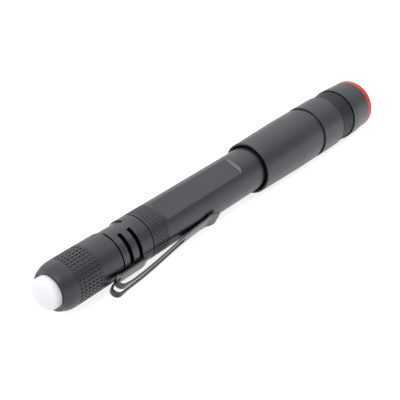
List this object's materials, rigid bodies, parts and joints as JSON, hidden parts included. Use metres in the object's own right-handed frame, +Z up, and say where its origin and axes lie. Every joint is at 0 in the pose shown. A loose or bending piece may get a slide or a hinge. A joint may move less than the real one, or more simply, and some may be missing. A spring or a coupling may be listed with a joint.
{
  "type": "penlight",
  "caption": "Slim AAA penlight with a knurled screw tail cap, soft push button, spring-steel pocket clip and a push-pull focusing head with a domed lens.",
  "frame": {"origin": "centre of the front ring's face, on the axis of the barrel", "axes": "+X along the axis towards the beam, +Z up, lying on its side as on a table, resting on its head and on its clip"},
  "size_m": [0.1457, 0.0192, 0.0174],
  "materials": {
    "black_anodised": "satin black anodised",
    "black_spring_steel": "satin black coated spring steel",
    "white_silicone": "moulded translucent white silicone",
    "red_anodised": "satin red anodised",
    "black_rubber": "nitrile rubber",
    "black_plastic": "moulded",
    "white_plastic": "moulded",
    "circuit_board": "solder mask on glass fibre",
    "white_board": "white solder mask on an aluminium core",
    "led_phosphor": "phosphor under clear silicone",
    "spring_steel": "bright drawn",
    "brass": "turned",
    "cell_jacket": null,
    "clear_lens": "polished clear"
  },
  "bodies": {
    "barrel": {"barrel": "black_anodised", "pocket_clip": "black_spring_steel", "tail_o_ring": "black_rubber", "rear_cell": "cell_jacket", "front_cell": "cell_jacket", "positive_contact": "brass", "driver_board": "circuit_board", "led_pill": "brass", "led_board": "white_board", "led_emitter": "led_phosphor", "led_ring": "white_plastic", "stop_ring": "spring_steel", "focus_o_ring": "black_rubber"},
    "focus_head": {"focus_sleeve": "black_anodised", "front_bezel": "black_anodised", "red_ring": "red_anodised", "lens": "clear_lens", "lens_gasket": "black_rubber", "lens_retainer": "black_anodised"},
    "tail_spring": {"tail_spring": "spring_steel"},
    "tail_cap": {"tail_cap": "black_anodised", "button_gasket": "black_rubber", "switch_housing": "black_plastic", "switch_spring": "spring_steel", "switch_board": "circuit_board", "switch_retainer": "brass"},
    "tail_button": {"tail_button": "white_silicone", "switch_plunger": "white_plastic"}
  },
  "joints": [
    {"name": "focus_slide", "type": "slide", "parent": "barrel", "child": "focus_head", "axis": [1, 0, 0], "range_m": [0, 0.006]},
    {"name": "cap_advance", "type": "slide", "parent": "barrel", "child": "tail_spring", "axis": [-1, 0, 0], "range_m": [0, 0.005]},
    {"name": "cap_turn", "type": "hinge", "parent": "tail_spring", "child": "tail_cap", "pos_m": [-0.1224, 0, 0], "axis": [-1, 0, 0], "range_deg": [0, 1800]},
    {"name": "button_press", "type": "slide", "parent": "tail_cap", "child": "tail_button", "axis": [1, 0, 0], "range_m": [0, 0.0016], "stiffness_N_per_m": 1500, "deforming": ["switch_spring"]}
  ],
  "couplings": [
    {"joint": "cap_turn", "follows": "cap_advance", "rad_per_m": 6283.2}
  ]
}
